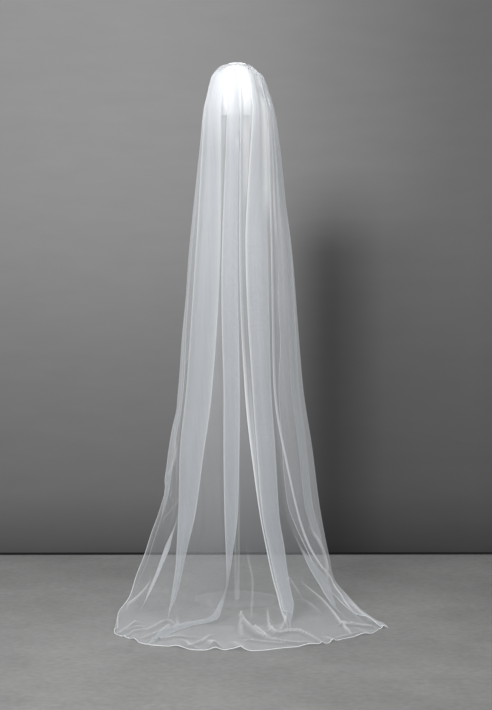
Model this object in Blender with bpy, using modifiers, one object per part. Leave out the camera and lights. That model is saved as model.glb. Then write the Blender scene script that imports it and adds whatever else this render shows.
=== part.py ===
"""A floor-length bridal veil of sheer tulle on a plain head form with a clear stand.

Metres, +Z up. The origin is the middle of the stand's underside, on the floor.
The train spreads toward -Y and the sheet is open toward +Y, the side of the face.
"""
import math
from collections import namedtuple

import bmesh
import bpy
import numpy as np

# Cloth
WALL = 0.0012
SEAM = 0.0004
OVERLAP = 1.45          # how far a full fold doubles back, against its half width
GATHER_DEPTH = 0.0035
NARROW_GAP = 0.16       # radians: narrower gaps between folds have shallower gathers
SIDE_HEM_WAVE = 0.006
SIDE_HEM_PITCH = 0.17
SIDE_HEM_REACH = 0.22   # radians over which the left edge's wave dies away
HEM_WAVES = 13
HEM_UNEVEN = 0.8        # radians that the hem's waves wander
HEM_WANDER = 2.3
HEM_LIFT = 0.007
HEM_SWAY = 0.006
FLOOR_LAYER = 0.0035    # height that each layer of a fold adds where it lies on the floor

# Head form: an upright egg, cut flat below
HEAD_WIDTH = 0.160
HEAD_DEPTH = 0.170
HEAD_MIDDLE = 1.660
HEAD_UP = 0.086
HEAD_DOWN = 0.115
HEAD_CUT = 1.580

# Clear stand
POST_DIAMETER = 0.016
BASE_DIAMETER = 0.280
BASE_THICKNESS = 0.008
TOUCH = 0.0003

# Comb and heading
COMB_WIDTH = 0.068
COMB_THICKNESS = 0.0012
COMB_BAR = 0.008
COMB_TOOTH = 0.030
COMB_TEETH = 14
COMB_TOOTH_ROWS = 5
COMB_BAR_ROWS = 2
COMB_BACK = 0.012
HEADING_WIDTH = 0.056
HEADING_HEIGHT = 0.0055
HEADING_WAVES = 11
HEADING_DEPTH = 0.0022
HEADING_WALL = 0.0010
HEADING_FORWARD = -0.004
HEADING_DROP = 0.0012
HEADING_TAPER = 0.45    # share of its height that the ruffle loses toward its ends

# One row for each cross-section of the sheet, from the comb to the hem. A section
# is a C seen from above: it reaches left and right of its centre, near toward the
# train and far toward the face, and its edges are at angles from the train's
# direction. Point is above 1 where the right half narrows to a corner.
Station = namedtuple(
    "Station", "height side_height left right near centre far edge_left edge_right point")
STATIONS = [
    Station(1.7486, 1.7445, 0.0370, 0.0380, 0.010, 0.010, 0.006, -128, 130, 1.0),
    Station(1.7456, 1.7420, 0.0500, 0.0460, 0.042, 0.004, 0.026, -128, 130, 1.0),
    Station(1.7270, 1.7260, 0.0680, 0.0640, 0.066, 0.000, 0.056, -128, 130, 1.0),
    Station(1.7060, 1.7080, 0.0800, 0.0840, 0.087, 0.000, 0.078, -128, 130, 1.0),
    Station(1.6600, 1.6600, 0.0915, 0.1005, 0.102, 0.000, 0.092, -128, 130, 1.0),
    Station(1.6000, 1.6000, 0.1060, 0.1190, 0.110, 0.000, 0.098, -128, 131, 1.0),
    Station(1.4800, 1.4800, 0.1190, 0.1370, 0.118, 0.000, 0.102, -128, 131, 1.0),
    Station(1.3000, 1.3000, 0.1380, 0.1570, 0.130, 0.000, 0.106, -128, 130, 1.0),
    Station(1.1400, 1.1400, 0.1540, 0.1770, 0.143, 0.000, 0.110, -127, 130, 1.0),
    Station(0.9000, 0.9000, 0.1720, 0.1960, 0.158, 0.000, 0.116, -129, 134, 1.0),
    Station(0.7000, 0.7000, 0.1870, 0.2130, 0.172, 0.000, 0.120, -98, 138, 1.0),
    Station(0.5000, 0.5000, 0.2200, 0.2430, 0.186, -0.008, 0.125, -91, 142, 1.0),
    Station(0.3200, 0.3250, 0.2510, 0.2650, 0.200, -0.020, 0.130, -90, 144, 1.0),
    Station(0.2100, 0.2300, 0.2810, 0.2810, 0.207, -0.035, 0.130, -90, 140, 1.0),
    Station(0.1200, 0.1600, 0.3000, 0.2950, 0.210, -0.060, 0.120, -90, 132, 1.0),
    Station(0.0450, 0.0950, 0.3240, 0.3100, 0.215, -0.095, 0.100, -90, 125, 1.0),
    Station(0.0000, 0.0450, 0.3410, 0.3540, 0.240, -0.160, 0.080, -90, 122, 1.2),
    Station(0.0000, 0.0120, 0.3620, 0.4030, 0.270, -0.280, 0.060, -90, 116, 1.5),
    Station(0.0000, 0.0000, 0.3650, 0.4470, 0.303, -0.420, 0.030, -90, 104, 1.9),
]
CROWN_END, FALL_END, HEM = 5, 14, 18
CROWN_ROWS, FALL_ROWS, TRAIN_ROWS = 6, 11, 8

# One row for each fold that doubles the sheet back on itself, from the left edge to
# the right edge. The spans are its left and right limits at the sections named in
# FOLD_SECTIONS: in metres from the middle on the near side, or as shares of the
# edge's angle for the two folds at the sides.
FOLD_SECTIONS = (5, 8, 10, 12, 13, 14, 15, 16, 17, 18)
Fold = namedtuple("Fold", "name begins ends depth segments by_share spans")
FOLDS = [
    Fold("left_side", 2.0, 14.0, 0.008, 7, True, [
        (0.86, 0.76), (0.86, 0.76), (0.86, 0.76), (0.88, 0.80), (0.88, 0.81),
        (0.88, 0.82), (0.89, 0.84), (0.90, 0.86), (0.90, 0.86), (0.90, 0.86)]),
    Fold("left_line", 11.8, 16.8, 0.005, 5, False, [
        (-0.1015, -0.0985), (-0.140, -0.133), (-0.167, -0.161), (-0.1885, -0.1825),
        (-0.2235, -0.2155), (-0.2555, -0.2475), (-0.283, -0.275), (-0.306, -0.298),
        (-0.320, -0.312), (-0.330, -0.322)]),
    Fold("broad_left", 1.5, 16.4, 0.011, 7, False, [
        (-0.0956, -0.0542), (-0.1266, -0.0538), (-0.1573, -0.0818), (-0.1806, -0.1343),
        (-0.1865, -0.1575), (-0.1935, -0.1762), (-0.2030, -0.1890), (-0.2180, -0.2050),
        (-0.250, -0.238), (-0.288, -0.276)]),
    Fold("middle", 1.5, 18.6, 0.011, 7, False, [
        (-0.0287, 0.0064), (-0.0459, 0.0032), (-0.0409, 0.0094), (-0.0385, 0.0030),
        (-0.0350, -0.0081), (-0.0320, -0.0200), (-0.0610, -0.0470), (-0.1300, -0.0910),
        (-0.2030, -0.1580), (-0.2580, -0.2300)]),
    Fold("tight_line", 3.0, 16.6, 0.005, 5, False, [
        (0.0112, 0.0185), (0.0068, 0.0175), (0.0236, 0.0346), (0.0716, 0.0792),
        (0.0925, 0.1000), (0.1075, 0.1150), (0.1280, 0.1350), (0.1440, 0.1510),
        (0.136, 0.144), (0.146, 0.154)]),
    Fold("broad_right", 1.5, 16.8, 0.011, 7, False, [
        (0.0478, 0.0829), (0.0253, 0.1012), (0.0472, 0.1110), (0.0812, 0.1340),
        (0.1015, 0.1505), (0.1165, 0.1620), (0.1365, 0.1760), (0.1530, 0.1690),
        (0.150, 0.165), (0.160, 0.174)]),
    Fold("right_crease", 12.2, 17.2, 0.005, 5, False, [
        (0.0860, 0.0890), (0.1030, 0.1050), (0.1125, 0.1145), (0.152, 0.159),
        (0.1920, 0.2000), (0.2292, 0.2575), (0.2671, 0.2980), (0.3050, 0.3130),
        (0.340, 0.348), (0.362, 0.370)]),
    Fold("right_line", 3.0, 17.4, 0.005, 5, False, [
        (0.0924, 0.1004), (0.1076, 0.1155), (0.1164, 0.1258), (0.187, 0.196),
        (0.2205, 0.2300), (0.2635, 0.2710), (0.3030, 0.3075), (0.338, 0.345),
        (0.372, 0.380), (0.400, 0.408)]),
    Fold("right_side", 2.0, 14.5, 0.008, 7, True, [
        (0.80, 0.88), (0.80, 0.88), (0.80, 0.88), (0.80, 0.87), (0.80, 0.87),
        (0.80, 0.87), (0.82, 0.88), (0.84, 0.89), (0.86, 0.90), (0.88, 0.92)]),
]
FOLD_FADE = 1.6         # sections over which a fold opens or closes

# The sections between which something grows from nothing to full
FOLDS_DEEPEN = (0.5, 4.0)
GATHERS_DEEPEN = (0.3, 3.5)
GATHERS_SOFTEN = (12, 15)
GATHERS_LEFT = 0.4
LIES_DOWN = (14.0, 16.2)
HEM_STARTS = (16.4, 18)
SIDE_WAVE_STARTS = (9.6, 11.5)
SIDE_WAVE_STOPS = (16, 17.5)

# Scales that bring the curves of a fold's profile to a peak of 1
BACKWARD_SCALE = 1.5 * math.sqrt(3)
LAYER_SCALE = 1 / 0.62
GAP_SEGMENTS = (3, 4, 3, 4, 2, 1, 1, 2, 6, 3)

# The gaps between folds where one stretch of the sheet meets the next
LEFT_SEAM, MIDDLE_SEAM, RIGHT_SEAM = 3, 4, 8

WHITE_TULLE = ("tulle", (0.80, 0.84, 0.88), 0.75, 0.38)
WHITE_FORM = ("white_form", (0.92, 0.92, 0.91), 0.55, 1.0)
CLEAR_ACRYLIC = ("clear_acrylic", (0.90, 0.93, 0.94), 0.08, 0.25)
PEARL_PLASTIC = ("pearl_plastic", (0.88, 0.88, 0.86), 0.35, 1.0)


def remove_everything():
    for thing in list(bpy.data.objects):
        bpy.data.objects.remove(thing, do_unlink=True)


def material(kind):
    name, colour, roughness, alpha = kind
    made = bpy.data.materials.get(name) or bpy.data.materials.new(name)
    made.use_nodes = True
    shader = made.node_tree.nodes["Principled BSDF"]
    shader.inputs["Base Color"].default_value = (*colour, 1.0)
    shader.inputs["Roughness"].default_value = roughness
    shader.inputs["Metallic"].default_value = 0.0
    shader.inputs["Alpha"].default_value = alpha
    return made


def add_object(name, mesh, kind, collection):
    mesh.materials.clear()
    mesh.materials.append(material(kind))
    made = bpy.data.objects.new(name, mesh)
    collection.objects.link(made)
    return made


def smooth_curve(stations, values, where):
    """The value at a place, on a curve through the stations that never overshoots them."""
    steps = np.diff(stations)
    slopes = np.diff(values) / steps
    tangents = np.zeros(len(values))
    for i in range(1, len(values) - 1):
        before, after = slopes[i - 1], slopes[i]
        if before * after > 0:
            tangents[i] = 2 * before * after / (before + after)
    tangents[0], tangents[-1] = slopes[0], slopes[-1]
    i = int(np.clip(np.searchsorted(stations, where, side="right") - 1, 0, len(steps) - 1))
    t = float(np.clip((where - stations[i]) / steps[i], 0, 1))
    return ((1 + 2 * t) * (1 - t) ** 2 * values[i] + t * (1 - t) ** 2 * steps[i] * tangents[i]
            + t * t * (3 - 2 * t) * values[i + 1] - t * t * (1 - t) * steps[i] * tangents[i + 1])


def rise(start, end, where):
    t = np.clip((where - start) / (end - start), 0, 1)
    return t * t * (3 - 2 * t)


def station_at(level):
    numbers = range(len(STATIONS))
    return Station(*(smooth_curve(numbers, column, level) for column in zip(*STATIONS)))


def fold_limits():
    """Each fold's left and right angles at the sections of FOLD_SECTIONS."""
    limits = []
    for fold in FOLDS:
        rows = []
        for number, span in zip(FOLD_SECTIONS, fold.spans):
            station = STATIONS[number]
            if fold.by_share:
                edge = station.edge_left if fold.name == "left_side" else station.edge_right
                rows.append([share * math.radians(edge) for share in span])
            else:
                rows.append([math.asin(x / (station.left if x < 0 else station.right))
                             for x in span])
        limits.append(np.array(rows))
    return limits


LIMITS = fold_limits()


def fullness(fold, level):
    """How far a fold is closed at a level: 0 is open, 1 doubles right back."""
    opening = rise(fold.begins, fold.begins + FOLD_FADE, level)
    closing = 1 - rise(fold.ends - FOLD_FADE, fold.ends, level)
    return opening * closing


def columns():
    """The sheet's columns: which gap or fold each one is in, and its place in it.

    Gaps are even numbers with places 0 to 1, folds are odd with places -1 to 1.
    """
    stretches, places = [0], [0.0]
    for number, segments in enumerate(GAP_SEGMENTS):
        for i in range(1, segments + 1):
            stretches.append(2 * number)
            places.append(i / segments)
        if number < len(FOLDS):
            count = FOLDS[number].segments
            for i in range(1, count):
                stretches.append(2 * number + 1)
                places.append(2 * i / count - 1)
            stretches.append(2 * number + 2)
            places.append(0.0)
    return np.array(stretches), np.array(places)


STRETCHES, PLACES = columns()


def section(level):
    """Points along one cross-section of the sheet, one for each column."""
    at = station_at(level)
    edges = [math.radians(at.edge_left)]
    for limits in LIMITS:
        edges += [smooth_curve(FOLD_SECTIONS, limits[:, side], max(level, CROWN_END))
                  for side in (0, 1)]
    edges.append(math.radians(at.edge_right))

    count = len(STRETCHES)
    angle, swing, layer, share = (np.zeros(count) for _ in range(4))
    depth = np.zeros(count)
    for number in range(len(edges) - 1):
        inside = STRETCHES == number
        place = PLACES[inside]
        low, high = edges[number], edges[number + 1]
        if number % 2 == 0:
            angle[inside] = low + place * (high - low)
            waves = GAP_SEGMENTS[number // 2] / 4
            wide = min(1, (high - low) / NARROW_GAP)
            swing[inside] = np.sin(2 * math.pi * waves * place) * wide
        else:
            fold = FOLDS[number // 2]
            full = fullness(fold, level)
            back = OVERLAP * full * BACKWARD_SCALE * place * (1 - place ** 2)
            angle[inside] = (low + high) / 2 + (high - low) / 2 * (place - back)
            layer[inside] = full * LAYER_SCALE * place * (1 - place ** 6)
            share[inside] = full * (1 - place ** 8)
            depth[inside] = fold.depth

    side = np.where(angle < 0, at.left, at.right)
    across, along = np.sin(angle), np.cos(angle)
    bow = np.where(angle > 0, np.maximum(along, 0) ** at.point, along)
    reach = np.where(along > 0, at.near, at.far)
    x = side * across
    y = at.centre - reach * np.where(along > 0, bow, along)
    z = at.height + (at.side_height - at.height) * np.clip(1 - along, 0, 1)

    out = np.stack([across / side, -along / reach])
    out /= np.linalg.norm(out, axis=0)
    lying = rise(*LIES_DOWN, level)
    softened = 1 - (1 - GATHERS_LEFT) * rise(*GATHERS_SOFTEN, level)
    gathers = GATHER_DEPTH * rise(*GATHERS_DEEPEN, level) * softened
    push = (1 - lying) * (rise(*FOLDS_DEEPEN, level) * depth * layer + gathers * swing)
    lift = lying * FLOOR_LAYER * (layer + share)

    hem = rise(*HEM_STARTS, level)
    wave = np.sin(HEM_WAVES * angle + HEM_UNEVEN * np.sin(HEM_WANDER * angle))
    push = push + hem * HEM_SWAY * wave
    lift = lift + hem * HEM_LIFT * np.maximum(0, np.cos(HEM_WAVES * angle)) ** 2
    near_edge = np.exp(-((angle - edges[0]) / SIDE_HEM_REACH) ** 2)
    sway = rise(*SIDE_WAVE_STARTS, level) * (1 - rise(*SIDE_WAVE_STOPS, level)) * near_edge
    push = push + SIDE_HEM_WAVE * sway * math.sin(2 * math.pi * at.height / SIDE_HEM_PITCH)

    x = x + out[0] * push
    y = y + out[1] * push
    z = np.maximum(z + lift, WALL / 2)
    return np.stack([x, y, z], axis=1)


def unit(vectors):
    return vectors / np.linalg.norm(vectors, axis=-1, keepdims=True)


def whole_sheet(levels):
    """The sheet's middle surface and its normals, a row for each level."""
    points = np.array([section(level) for level in levels])
    down, across = np.gradient(points, axis=0), np.gradient(points, axis=1)
    return points, unit(np.cross(across, down))


def stretch_of_veil(name, sheet, rows, columns, collection):
    """One closed wall of the sheet, drawn in by half a seam on its four sides."""
    points, normals = (part[rows, columns].copy() for part in sheet)
    for edge, inside in ((0, 1), (-1, -2)):
        points[edge] += unit(points[inside] - points[edge]) * SEAM / 2
        points[:, edge] += unit(points[:, inside] - points[:, edge]) * SEAM / 2
    long, wide = points.shape[:2]
    shape = bmesh.new()
    bmesh.ops.create_grid(shape, x_segments=wide - 1, y_segments=long - 1, size=1)
    number = shape.verts.layers.int.new("number")
    for vertex in shape.verts:
        column = round((vertex.co.x + 1) / 2 * (wide - 1))
        row = round((1 - vertex.co.y) / 2 * (long - 1))
        vertex[number] = row * wide + column
    grown = bmesh.ops.extrude_face_region(shape, geom=shape.faces[:], use_keep_orig=True)
    inner = {item for item in grown["geom"] if isinstance(item, bmesh.types.BMVert)}
    for vertex in shape.verts:
        row, column = divmod(vertex[number], wide)
        side = -1 if vertex in inner else 1
        vertex.co = points[row, column] + side * WALL / 2 * normals[row, column]
    bmesh.ops.recalc_face_normals(shape, faces=shape.faces[:])
    for face in shape.faces:
        face.smooth = True
    mesh = bpy.data.meshes.new(name)
    shape.to_mesh(mesh)
    shape.free()
    add_object(name, mesh, WHITE_TULLE, collection)


def gap_middle(gap):
    """The column in the middle of a gap between folds."""
    inside = np.flatnonzero((STRETCHES == 2 * gap) & (PLACES > 0))
    return int(inside[(len(inside) - 1) // 2])


def make_veil(collection):
    levels = np.concatenate([
        np.linspace(0, CROWN_END, CROWN_ROWS, endpoint=False),
        np.linspace(CROWN_END, FALL_END, FALL_ROWS, endpoint=False),
        np.linspace(FALL_END, HEM, TRAIN_ROWS + 1)])
    sheet = whole_sheet(levels)
    crown = slice(0, CROWN_ROWS + 1)
    fall = slice(CROWN_ROWS, CROWN_ROWS + FALL_ROWS + 1)
    train = slice(CROWN_ROWS + FALL_ROWS, len(levels))

    seams = [gap_middle(gap) for gap in (LEFT_SEAM, MIDDLE_SEAM, RIGHT_SEAM)]
    limits = [0, *seams, len(STRETCHES) - 1]
    left, middle, right, far = (slice(a, b + 1) for a, b in zip(limits, limits[1:]))
    for name, rows, columns in (
            ("veil_crown", crown, slice(None)),
            ("veil_fall_left", fall, left),
            ("veil_fall_middle", fall, middle),
            ("veil_fall_right", fall, right),
            ("veil_return_right", fall, far),
            ("veil_train_left", train, left),
            ("veil_train_middle", train, middle),
            ("veil_train_right", train, slice(right.start, None))):
        stretch_of_veil(name, sheet, rows, columns, collection)


def on_head(x, y, above):
    """A point over the head form's upper half, a little above its surface."""
    across, along = x / (HEAD_WIDTH / 2), y / (HEAD_DEPTH / 2)
    up = math.sqrt(max(0.0, 1 - across ** 2 - along ** 2))
    return ((HEAD_WIDTH / 2 + above) * across, (HEAD_DEPTH / 2 + above) * along,
            HEAD_MIDDLE + (HEAD_UP + above) * up)


def make_comb(collection):
    """A curved comb: a bar across the top of the form, and teeth under the cloth."""
    wide = 2 * COMB_TEETH - 1
    long = COMB_TOOTH_ROWS + COMB_BAR_ROWS
    shape = bmesh.new()
    bmesh.ops.create_grid(shape, x_segments=wide, y_segments=long, size=1)
    slots = []
    for face in shape.faces:
        middle = face.calc_center_median()
        column = int((middle.x + 1) / 2 * wide)
        row = int((middle.y + 1) / 2 * long)
        if row < COMB_TOOTH_ROWS and column % 2 == 1:
            slots.append(face)
    bmesh.ops.delete(shape, geom=slots, context="FACES")
    above = TOUCH + COMB_THICKNESS / 2
    for vertex in shape.verts:
        row = (vertex.co.y + 1) / 2 * long
        on_bar = max(0.0, row - COMB_TOOTH_ROWS) / COMB_BAR_ROWS
        on_tooth = min(row, COMB_TOOTH_ROWS) / COMB_TOOTH_ROWS
        y = COMB_BACK - COMB_BAR * (1 - on_bar) - COMB_TOOTH * (1 - on_tooth)
        vertex.co = on_head(vertex.co.x * COMB_WIDTH / 2, y, above)
    mesh = bpy.data.meshes.new("comb")
    shape.to_mesh(mesh)
    shape.free()
    comb = add_object("comb", mesh, PEARL_PLASTIC, collection)
    wall = comb.modifiers.new("thickness", "SOLIDIFY")
    wall.thickness = COMB_THICKNESS
    wall.offset = 0


def make_heading(collection):
    """The short ruffle of tulle that stands up above the gathering stitch."""
    steps = HEADING_WAVES * 4
    shape = bmesh.new()
    bmesh.ops.create_grid(shape, x_segments=steps, y_segments=2, size=1)
    foot = STATIONS[0].height + WALL / 2 + TOUCH
    for vertex in shape.verts:
        share = vertex.co.x
        up = (vertex.co.y + 1) / 2
        wave = math.sin(math.pi * HEADING_WAVES * (share + 1))
        height = HEADING_HEIGHT * (1 - HEADING_TAPER * share ** 2)
        vertex.co = (share * HEADING_WIDTH / 2,
                     HEADING_FORWARD + HEADING_DEPTH * wave * (0.5 + 0.5 * up),
                     foot - HEADING_DROP * share ** 2 + height * up)
    mesh = bpy.data.meshes.new("heading")
    shape.to_mesh(mesh)
    shape.free()
    heading = add_object("heading", mesh, WHITE_TULLE, collection)
    wall = heading.modifiers.new("wall", "SOLIDIFY")
    wall.thickness = HEADING_WALL
    wall.offset = 0


def make_head_form(collection):
    bpy.ops.mesh.primitive_uv_sphere_add(segments=28, ring_count=14, radius=1)
    form = bpy.context.object
    form.name = form.data.name = "head_form"
    lowest = (HEAD_CUT - HEAD_MIDDLE) / HEAD_DOWN
    for vertex in form.data.vertices:
        x, y, z = vertex.co
        if z < lowest:
            inward = math.sqrt((1 + z) / (1 + lowest))
            rim = math.sqrt((1 - lowest ** 2) / max(1e-9, 1 - z ** 2))
            x, y, z = x * rim * inward, y * rim * inward, lowest
        vertex.co = (x * HEAD_WIDTH / 2, y * HEAD_DEPTH / 2,
                     HEAD_MIDDLE + z * (HEAD_UP if z > 0 else HEAD_DOWN))
    form.data.materials.append(material(WHITE_FORM))
    form.data.shade_smooth()
    for owner in list(form.users_collection):
        owner.objects.unlink(form)
    collection.objects.link(form)


def make_cylinder(name, diameter, low, high, bevel, collection):
    bpy.ops.mesh.primitive_cylinder_add(vertices=48, radius=diameter / 2, depth=high - low,
                                        location=(0, 0, (low + high) / 2))
    made = bpy.context.object
    made.name = made.data.name = name
    if bevel:
        rounding = made.modifiers.new("edges", "BEVEL")
        rounding.width = bevel
        rounding.segments = 2
        rounding.limit_method = "ANGLE"
    made.data.materials.append(material(CLEAR_ACRYLIC))
    for owner in list(made.users_collection):
        owner.objects.unlink(made)
    collection.objects.link(made)


def make_stand(collection):
    make_cylinder("stand_base", BASE_DIAMETER, 0, BASE_THICKNESS, 0.001, collection)
    make_cylinder("stand_post", POST_DIAMETER, BASE_THICKNESS + TOUCH, HEAD_CUT - TOUCH, 0,
                  collection)


def main():
    remove_everything()
    collection = bpy.data.collections.new("bridal veil")
    bpy.context.scene.collection.children.link(collection)
    make_stand(collection)
    make_head_form(collection)
    make_comb(collection)
    make_heading(collection)
    make_veil(collection)


main()
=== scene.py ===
"""The looks of a sheer bridal veil over a white head form on a clear stand.

Metres, +Z up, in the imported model's frame. The train spreads toward -Y.
"""

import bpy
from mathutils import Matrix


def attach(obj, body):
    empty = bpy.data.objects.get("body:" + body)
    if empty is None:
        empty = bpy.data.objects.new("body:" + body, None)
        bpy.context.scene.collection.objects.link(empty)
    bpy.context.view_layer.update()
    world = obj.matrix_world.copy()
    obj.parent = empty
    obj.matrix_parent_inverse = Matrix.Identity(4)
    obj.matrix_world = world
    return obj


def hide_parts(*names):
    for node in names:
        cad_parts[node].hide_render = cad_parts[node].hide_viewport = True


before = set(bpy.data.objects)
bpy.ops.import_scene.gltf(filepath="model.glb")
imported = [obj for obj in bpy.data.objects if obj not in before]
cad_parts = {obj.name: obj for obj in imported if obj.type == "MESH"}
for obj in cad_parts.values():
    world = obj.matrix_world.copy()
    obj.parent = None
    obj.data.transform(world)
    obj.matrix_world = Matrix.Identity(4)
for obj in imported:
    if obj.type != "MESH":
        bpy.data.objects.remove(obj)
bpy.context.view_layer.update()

import math
from collections import namedtuple

import bmesh
import bpy
import numpy as np
from mathutils import Matrix, Vector

# Camera: level with the veil's middle, 5 m behind the wearer
CAMERA_PLACE = (0.0, -5.03, 0.98)
CAMERA_DOWN = 1.97          # degrees below level
CAMERA_ASIDE = 0.334        # degrees to the right
CAMERA_SEES = 60
FOCAL_PIXELS = 1544
PICTURE_HEIGHT = 710
SENSOR = 36.0
SEE_THROUGH_BOUNCES = 48    # enough for a ray to pass every layer of net

# Stage
FLOOR_BACK_EDGE = 0.93
FLOOR_REACH = 4.0
SHADOW_GAP = 0.009
STUDIO_LIGHT = 0.33

# The wall's greys, by the direction it is seen in: a row is a place and the grey there
# They are painted light and shade: paler to the left and above, with a painted dark line at the
# wall's foot
WALL_ABOVE = ((-0.20, 0.92), (-0.06, 1.02), (0.05, 0.82), (0.14, 0.41), (0.30, 0.36))
WALL_BELOW = ((-0.20, 0.92), (-0.06, 1.02), (0.05, 0.86), (0.14, 0.62), (0.30, 0.55))
WALL_TURNS = ((-0.16, 0.0), (0.16, 1.0))
WALL_UP = ((-0.24, 0.20), (-0.175, 0.03), (-0.155, 0.085), (-0.12, 0.150),
           (-0.04, 0.200), (0.03, 0.272), (0.12, 0.315), (0.30, 0.32))
# Painted shadow of the veil on the wall, to its right and low down
SHADE_ACROSS = ((-0.01, 0.0), (0.030, 0.15), (0.052, 0.74), (0.068, 0.74), (0.095, 0.30),
                (0.15, 0.0))
SHADE_UP = ((-0.20, 0.8), (-0.05, 0.9), (0.03, 1.0), (0.055, 0.45), (0.09, 0.0))
WALL_RIPPLE = (7, 7, 26)
WALL_UNEVEN = (0.95, 1.05)

# Round lights: name, place, the point they aim at, width and watts
LIGHTS = (
    ("key", (-1.2, -2.9, 2.2), (0, 0, 1.4), 1.4, 80),
    ("fill", (1.9, -3.0, 2.0), (0, 0, 1.2), 1.6, 38),
    ("rear", (-0.9, 2.6, 2.7), (0, 0, 0.9), 1.6, 18),
)
SPOT_PLACE = (-0.5, -3.2, 2.4)
SPOT_AIM = (0, 0, 1.690)
SPOT_DEGREES = 5.8
SPOT_WATTS = 375
SPOT_BLEND = 0.5
SPOT_SOFTNESS = 0.12

# Cloth
THREAD_ROOM = 0.0006        # the sheet's middle lies this far above the floor
OVERLAP = 1.52              # how far a full fold doubles back, against its half width
FLOOR_LAYER = 0.0035
EDGE_REACH = 0.22           # radians over which the pinches and the far wave die away
LEFT_PINCHES = ((0.630, 0.032, 0.011), (0.360, 0.030, 0.005))   # height, half height, depth
FAR_EDGE_WAVE = 0.007       # the right edge's slow wave: its size, pitch and one crest's height
FAR_EDGE_PITCH = 0.32
FAR_EDGE_CREST = 0.843
HEM_WAVES = 13
HEM_UNEVEN = 0.8
HEM_WANDER = 2.3
HEM_LIFT = 0.007
HEM_SWAY = 0.007
GATHERS = 52
GATHER_DEPTH = 0.0022
GATHERS_WANDER = ((0.8, 19, 0), (0.5, 46, 1))    # waves across the cut: size, pitch, phase
STOPS_WANDER = ((2.2, 31, 0),)
CREST_SHARPNESS = 3
PLEAT_GATHERS = 0.40
PLEATS_SMOOTH = 0.75        # how much fainter they are on the right side
PLEATS_SPREAD = (0.66, 0.74)
DRAPE_WAVES = 15
DRAPE_DEPTH = 0.0028
DRAPE_WANDER = ((0.6, 11, 2),)
DRAPE_TURNS = 0.05
REFERENCE = 8.0             # the section that gives each column's place across the cut
ROW_COUNTS = ((0, 5, 42), (5, 12, 76), (12, 18, 136))   # from a section, to a section, rows
EDGE_CORD = 0.0022
CORD_BEGINS = 4             # rows of the sheet between the comb and the cord's ends
CORD_STEP = 2
CORD_FINE = 0.45            # share of the cord's diameter on the upper edges
CORD_FINER = (0.05, 0.40)   # heights over which it thins

# Head form: an upright egg, cut flat below
HEAD_WIDTH = 0.160
HEAD_DEPTH = 0.170
HEAD_MIDDLE = 1.660
HEAD_UP = 0.086
HEAD_DOWN = 0.115
HEAD_CUT = 1.580
HEAD_RIM = 0.004

# Clear stand
POST_DIAMETER = 0.016
POST_BEVEL = 0.0006
POST_RIM = 0.55             # how much more its outline shows than its middle
BASE_DIAMETER = 0.280
BASE_THICKNESS = 0.008
BASE_BEVEL = 0.0012
BASE_RIM = 0.15
CLEAR_BODY = 0.03
TOUCH = 0.0003

# Comb and heading
COMB_WIDTH = 0.068
COMB_THICKNESS = 0.0012
COMB_BAR = 0.008
COMB_TOOTH = 0.030
COMB_TEETH = 14
COMB_BACK = 0.012
COMB_TOOTH_ROWS = 10
COMB_BAR_ROWS = 3
COMB_ROUNDING = 0.0003
COMB_ABOVE = TOUCH + COMB_THICKNESS / 2
STITCHES = 26
STITCH_STEPS = 12
STITCH_RADIUS = 0.0016
STITCH_THREAD = 0.0004
STITCH_BACK = 0.001
HEADING_WIDTH = 0.056
HEADING_CLOTH = 0.40        # the run of net that is gathered into it
HEADING_HEIGHT = 0.0055
HEADING_ENDS = 0.45         # how much lower it is at its ends
HEADING_RAGGED = 0.1
HEADING_WAVES = 17
HEADING_STEPS = 12          # columns to a wave
HEADING_ROWS = 6
HEADING_DEPTH = 0.0022
HEADING_FOOT = 0.5          # share of that depth at the foot
HEADING_LEAST = 0.75
HEADING_SWELL = ((0.25, 7, 1),)
HEADING_WANDER = ((0.6, 5, 0),)
HEADING_LEAN = 0.0008
HEADING_FORWARD = -0.004
HEADING_DROP = 0.0012

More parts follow.
